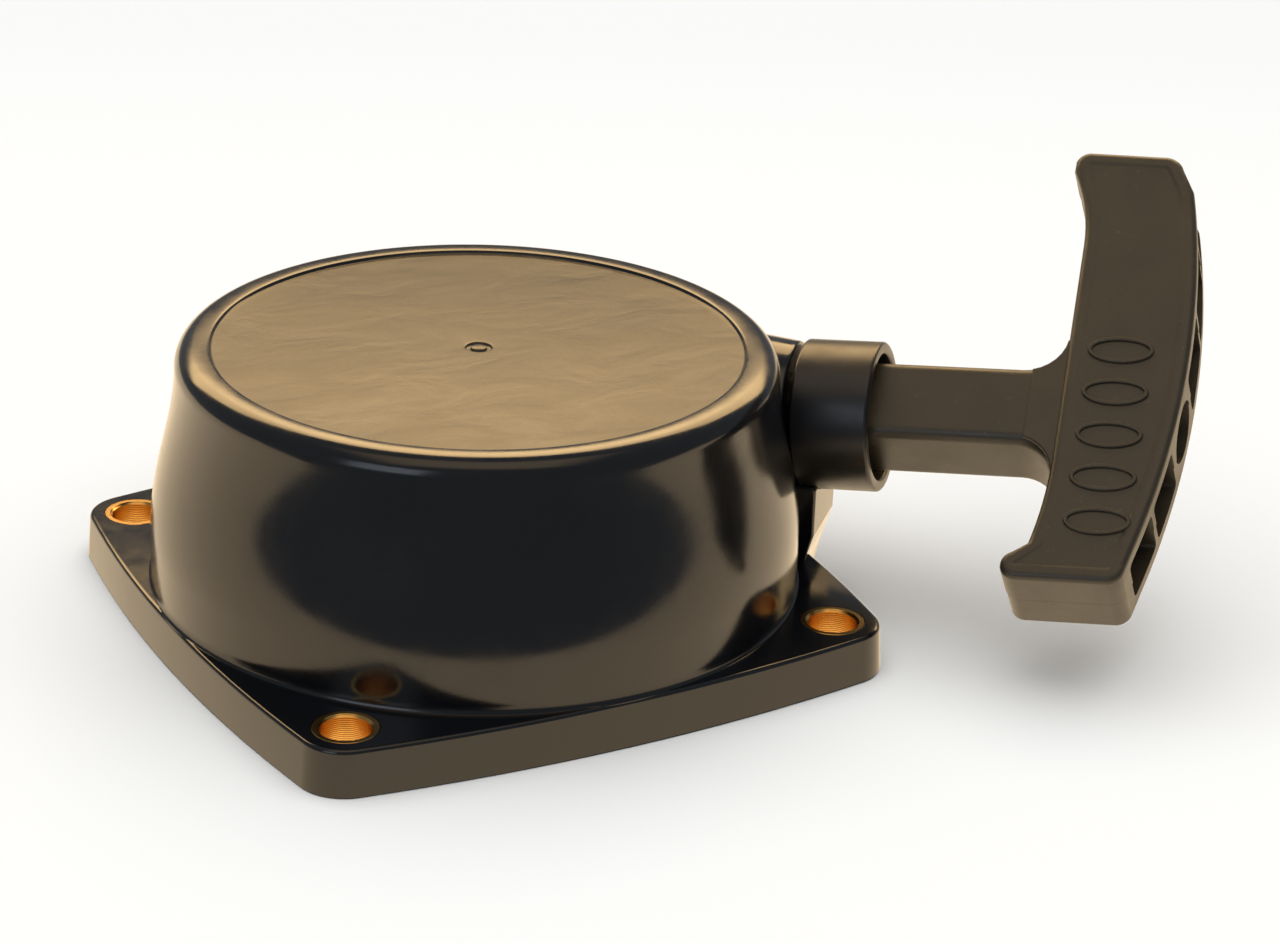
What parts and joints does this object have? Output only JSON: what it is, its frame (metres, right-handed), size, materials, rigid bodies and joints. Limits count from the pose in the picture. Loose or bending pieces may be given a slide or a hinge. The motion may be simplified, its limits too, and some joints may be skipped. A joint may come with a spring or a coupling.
{
  "type": "recoil starter",
  "caption": "Rope-pull starter: a deep drum on a square bolt flange, with a T handle, a rope reel, a spiral return spring and pawls.",
  "frame": {"origin": "centre of the four bolt holes, in the plane of the flange's underside, which sits on the engine", "axes": "+Z along the reel's axis, towards the closed top of the drum; X and Y along the flange's sides; the rope leaves towards +X and -Y"},
  "size_m": [0.1563, 0.1148, 0.0636],
  "materials": {
    "housing_nylon": "glossy moulded glass-filled nylon",
    "guide_nylon": "glossy moulded nylon",
    "handle_nylon": "satin moulded nylon",
    "reel_nylon": "moulded nylon",
    "bush_brass": "turned",
    "bush_bronze": "sintered",
    "plated_steel": "zinc plated",
    "sintered_steel": "sintered and hardened",
    "spring_steel": "blued spring steel",
    "rope": "braided nylon"
  },
  "bodies": {
    "casing": {"housing": "housing_nylon", "flange_bush_1": "bush_brass", "flange_bush_2": "bush_brass", "flange_bush_3": "bush_brass", "flange_bush_4": "bush_brass", "rope_guide": "guide_nylon", "post_insert": "bush_brass", "spring_case": "plated_steel", "recoil_spring": "spring_steel", "shoulder_washer": "plated_steel", "centre_screw": "plated_steel"},
    "reel": {"reel": "reel_nylon", "reel_bush": "bush_bronze", "rope_coil": "rope", "rope_knot_reel": "rope", "pawl_pin_a": "plated_steel", "pawl_pin_b": "plated_steel", "friction_spring": "spring_steel"},
    "friction_plate": {"friction_plate": "plated_steel"},
    "pawl_a": {"pawl_a": "sintered_steel"},
    "pawl_b": {"pawl_b": "sintered_steel"},
    "handle": {"pull_handle": "handle_nylon", "rope_run": "rope", "rope_knot_handle": "rope", "knot_washer": "plated_steel"}
  },
  "joints": [
    {"name": "handle_pull", "type": "slide", "parent": "casing", "child": "handle", "axis": [0.7039, -0.7039, 0.0958], "range_m": [0, 0.7], "stiffness_N_per_m": 12, "springref_m": -0.8, "deforming": ["rope_run"]},
    {"name": "reel_spin", "type": "hinge", "parent": "casing", "child": "reel", "pos_m": [0, 0, 0.0235], "axis": [0, 0, -1], "range_deg": [0, 1785], "deforming": ["recoil_spring"]},
    {"name": "plate_lag", "type": "hinge", "parent": "reel", "child": "friction_plate", "pos_m": [0, 0, 0.0113], "axis": [0, 0, 1], "range_deg": [0, 30]},
    {"name": "pawl_a_swing", "type": "hinge", "parent": "reel", "child": "pawl_a", "pos_m": [0.013, 0, 0.015], "axis": [0, 0, 1], "range_deg": [0, 24]},
    {"name": "pawl_b_swing", "type": "hinge", "parent": "reel", "child": "pawl_b", "pos_m": [-0.013, 0, 0.015], "axis": [0, 0, 1], "range_deg": [0, 24]}
  ],
  "couplings": [
    {"joint": "reel_spin", "follows": "handle_pull", "rad_per_m": 44.444},
    {"joint": "pawl_a_swing", "follows": "plate_lag", "ratio": 0.8},
    {"joint": "pawl_b_swing", "follows": "plate_lag", "ratio": 0.8}
  ]
}
